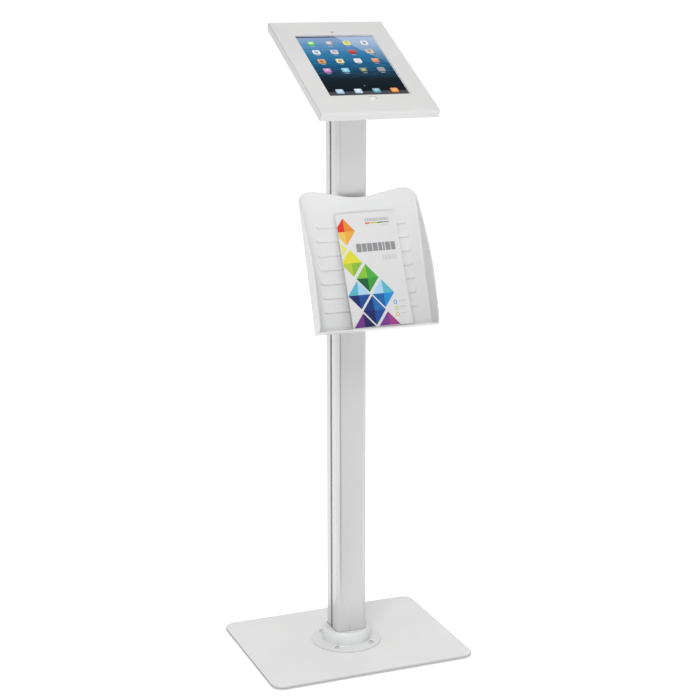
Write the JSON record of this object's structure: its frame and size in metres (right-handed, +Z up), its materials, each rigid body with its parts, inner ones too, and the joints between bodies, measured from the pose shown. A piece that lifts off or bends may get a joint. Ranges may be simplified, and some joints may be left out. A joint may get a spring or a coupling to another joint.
{
  "type": "tablet kiosk floor stand with leaflet holder",
  "caption": "Floor stand with a square pole, a tilting locked tablet enclosure on top and a leaning leaflet holder clamped to the pole.",
  "frame": {"origin": "on the pole's axis, in the plane that the stand rests on", "axes": "+Z up along the pole, -Y towards the person who reads the screen, +X to that person's right"},
  "size_m": [0.4, 0.3184, 1.1709],
  "materials": {
    "white_coat": "white powder coat, satin",
    "pole_coat": "light silver-grey coat on an extrusion, satin",
    "white_plastic": "white moulded plastic, semi-gloss",
    "zinc_steel": "zinc-plated steel",
    "bright_steel": "nickel-plated steel",
    "black_rubber": "black rubber, matt",
    "nylon": "natural nylon",
    "aluminium": "bead-blasted, anodised",
    "circuit_green": "solder mask",
    "cell_black": "foil pouch",
    "screen": null,
    "glass": "clear, white border behind it",
    "lens": "black lens",
    "paper": "coated printed paper"
  },
  "bodies": {
    "stand": {"floor_mat": "black_rubber", "base_plate": "white_coat", "pole_collar": "white_plastic", "collar_screw_1": "bright_steel", "collar_screw_2": "bright_steel", "collar_screw_3": "bright_steel", "collar_screw_4": "bright_steel", "pole": "pole_coat", "pole_bolt_1": "zinc_steel", "pole_bolt_2": "zinc_steel", "pole_bolt_3": "zinc_steel", "pole_bolt_4": "zinc_steel", "cable_outlet_plug": "black_rubber", "head_base": "zinc_steel", "head_base_screw_1": "zinc_steel", "head_base_screw_2": "zinc_steel", "head_base_screw_3": "zinc_steel", "head_base_screw_4": "zinc_steel", "tilt_bolt": "zinc_steel", "tilt_nut": "zinc_steel", "tilt_washer_left": "zinc_steel", "tilt_washer_right": "zinc_steel", "friction_disc_left": "nylon", "friction_disc_right": "nylon"},
    "tilt_head": {"tilt_knuckle": "zinc_steel", "swivel_washer": "nylon", "swivel_bolt": "zinc_steel"},
    "display": {"rear_tray": "white_coat", "hinge_pin": "bright_steel", "lock_body": "bright_steel", "lock_nut": "zinc_steel", "tablet_shell": "aluminium", "tablet_battery": "cell_black", "logic_board": "circuit_green", "display_panel": "screen", "front_glass": "glass", "camera_lens": "lens", "corner_pad_1": "black_rubber", "corner_pad_2": "black_rubber", "corner_pad_3": "black_rubber", "corner_pad_4": "black_rubber"},
    "cover": {"front_cover": "white_coat", "lock_catch": "zinc_steel"},
    "lock": {"lock_plug": "bright_steel", "lock_cam": "zinc_steel"},
    "button": {"home_button": "white_plastic"},
    "holder": {"holder_bracket": "white_coat", "leaflet_holder": "white_plastic", "holder_screw_left": "zinc_steel", "holder_screw_right": "zinc_steel", "t_nut_left": "zinc_steel", "t_nut_right": "zinc_steel", "rail_screw_left": "zinc_steel", "rail_screw_right": "zinc_steel"},
    "leaflets": {"leaflet_stack": "paper"}
  },
  "joints": [
    {"name": "head_tilt", "type": "hinge", "parent": "stand", "child": "tilt_head", "pos_m": [0, 0, 1.0495], "axis": [1, 0, 0], "range_deg": [-28, 30]},
    {"name": "display_spin", "type": "hinge", "parent": "tilt_head", "child": "display", "pos_m": [0, 0, 1.0495], "axis": [0, -0.4732, 0.881], "range_deg": [0, 90]},
    {"name": "cover_hinge", "type": "hinge", "parent": "display", "child": "cover", "pos_m": [0, 0.11127, 1.1583], "axis": [-1, 0, 0], "range_deg": [0, 105]},
    {"name": "lock_turn", "type": "hinge", "parent": "display", "child": "lock", "pos_m": [0, -0.14043, 1.02459], "axis": [0, 0.4732, -0.881], "range_deg": [0, 90]},
    {"name": "home_button_press", "type": "slide", "parent": "display", "child": "button", "axis": [0, 0.4732, -0.881], "range_m": [0, 0.0004], "stiffness_N_per_m": 2000, "springref_m": -0.0005},
    {"name": "holder_height", "type": "slide", "parent": "stand", "child": "holder", "axis": [0, 0, 1], "range_m": [-0.3, 0.02]},
    {"name": "leaflet_lift", "type": "slide", "parent": "holder", "child": "leaflets", "axis": [0, -0.7071, 0.7071], "range_m": [0, 0.25]}
  ]
}
